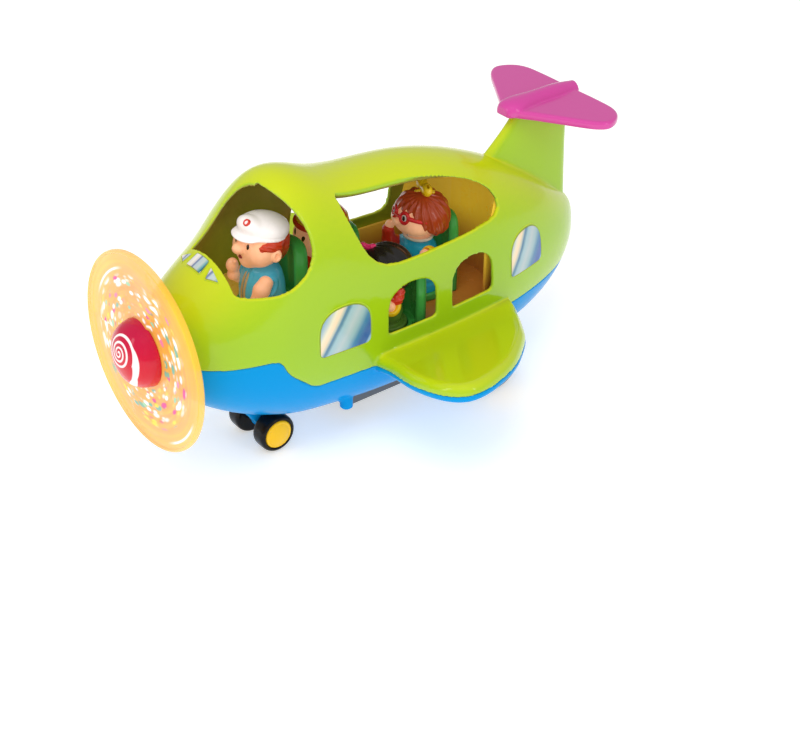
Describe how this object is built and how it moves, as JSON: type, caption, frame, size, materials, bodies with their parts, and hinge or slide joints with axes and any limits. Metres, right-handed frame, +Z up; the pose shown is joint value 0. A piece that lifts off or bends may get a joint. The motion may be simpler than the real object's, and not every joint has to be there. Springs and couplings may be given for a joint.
{
  "type": "toy airplane",
  "caption": "Chunky toddler airplane on wheels with open cockpit and cabin, carry handle, turning seated figures, domed spinner and clear spinning propeller.",
  "frame": {"origin": "on the ground, under the middle of the length, on the centre plane", "axes": "+X towards the propeller, +Y to the airplane's left (port), +Z up"},
  "size_m": [0.392, 0.2838, 0.2044],
  "materials": {
    "green_plastic": "moulded, high gloss",
    "blue_plastic": "moulded, high gloss",
    "magenta_plastic": "moulded, high gloss",
    "crimson_plastic": "moulded, high gloss",
    "amber_clear_plastic": "clear tinted",
    "yellow_plastic": "moulded, gloss",
    "seat_green_plastic": "moulded, gloss",
    "black_plastic": "moulded, high gloss",
    "hub_yellow_plastic": "moulded, high gloss",
    "steel": "ground",
    "brass": "turned",
    "gear_plastic": "moulded acetal",
    "box_grey_plastic": "fine texture",
    "board_green": "solder mask",
    "battery_wrap": "printed wrap, plain",
    "speaker_black": "pressed cone",
    "skin_light": "moulded, gloss",
    "skin_brown": "moulded, gloss",
    "shirt_teal": "moulded, gloss",
    "shirt_red": "moulded, gloss",
    "shirt_orange": "moulded, gloss",
    "cap_white": "moulded, gloss",
    "sticker_blue": "printed film"
  },
  "bodies": {
    "airframe": {"battery_box": "box_grey_plastic", "battery_cells": "battery_wrap", "battery_contacts": "brass", "battery_door": "box_grey_plastic", "cabin_tub": "yellow_plastic", "case_screws": "steel", "circuit_board": "board_green", "cockpit_deck": "yellow_plastic", "door_screw": "steel", "gearbox_housing": "box_grey_plastic", "left_passenger_seat": "seat_green_plastic", "lower_hull": "blue_plastic", "motor": "steel", "nose_bush": "brass", "nose_stickers": "sticker_blue", "pilot_seat": "seat_green_plastic", "power_switch": "speaker_black", "rear_passenger_seat": "seat_green_plastic", "right_passenger_seat": "seat_green_plastic", "speaker": "speaker_black", "tail_stabilizer": "magenta_plastic", "upper_shell": "green_plastic", "window_stickers": "sticker_blue"},
    "propeller_unit": {"propeller": "amber_clear_plastic", "spinner": "crimson_plastic", "propeller_shaft": "steel", "propeller_gear": "gear_plastic"},
    "pinion_unit": {"motor_pinion": "brass", "motor_shaft": "steel"},
    "front_wheels": {"front_axle": "steel", "front_tyres": "black_plastic", "front_hub_caps": "hub_yellow_plastic"},
    "rear_wheels": {"rear_axle": "steel", "rear_tyres": "black_plastic", "rear_hub_caps": "hub_yellow_plastic"},
    "switch_knob": {"power_switch_knob": "black_plastic"},
    "pilot": {"pilot_body": "shirt_teal", "pilot_head": "skin_light", "pilot_cap": "cap_white"},
    "rear_passenger": {"rear_passenger_body": "shirt_teal", "rear_passenger_head": "skin_light"},
    "left_passenger": {"left_passenger_body": "shirt_orange", "left_passenger_head": "skin_brown"},
    "right_passenger": {"right_passenger_body": "shirt_red", "right_passenger_head": "skin_light"}
  },
  "joints": [
    {"name": "propeller_spin", "type": "hinge", "parent": "airframe", "child": "propeller_unit", "pos_m": [0.175, 0, 0.1052], "axis": [1, 0, 0], "continuous": true},
    {"name": "pinion_spin", "type": "hinge", "parent": "airframe", "child": "pinion_unit", "pos_m": [0.138, 0, 0.08508], "axis": [1, 0, 0], "continuous": true},
    {"name": "front_wheels_spin", "type": "hinge", "parent": "airframe", "child": "front_wheels", "pos_m": [0.0863, 0, 0.0139], "axis": [0, 1, 0], "continuous": true},
    {"name": "rear_wheels_spin", "type": "hinge", "parent": "airframe", "child": "rear_wheels", "pos_m": [-0.081, 0, 0.027], "axis": [0, 1, 0], "continuous": true},
    {"name": "switch_slide", "type": "slide", "parent": "airframe", "child": "switch_knob", "axis": [-1, 0, 0], "range_m": [0, 0.004]},
    {"name": "pilot_turn", "type": "hinge", "parent": "airframe", "child": "pilot", "pos_m": [0.082, 0, 0.107], "axis": [0, 0, 1], "range_deg": [-40, 40]},
    {"name": "rear_passenger_turn", "type": "hinge", "parent": "airframe", "child": "rear_passenger", "pos_m": [-0.052, 0, 0.072], "axis": [0, 0, 1], "range_deg": [-40, 40]},
    {"name": "left_passenger_turn", "type": "hinge", "parent": "airframe", "child": "left_passenger", "pos_m": [-0.001, 0.027, 0.072], "axis": [0, 0, 1], "range_deg": [-40, 40]},
    {"name": "right_passenger_turn", "type": "hinge", "parent": "airframe", "child": "right_passenger", "pos_m": [0.015, -0.027, 0.072], "axis": [0, 0, 1], "range_deg": [-40, 40]}
  ],
  "couplings": [
    {"joint": "pinion_spin", "follows": "propeller_spin", "ratio": -4}
  ]
}
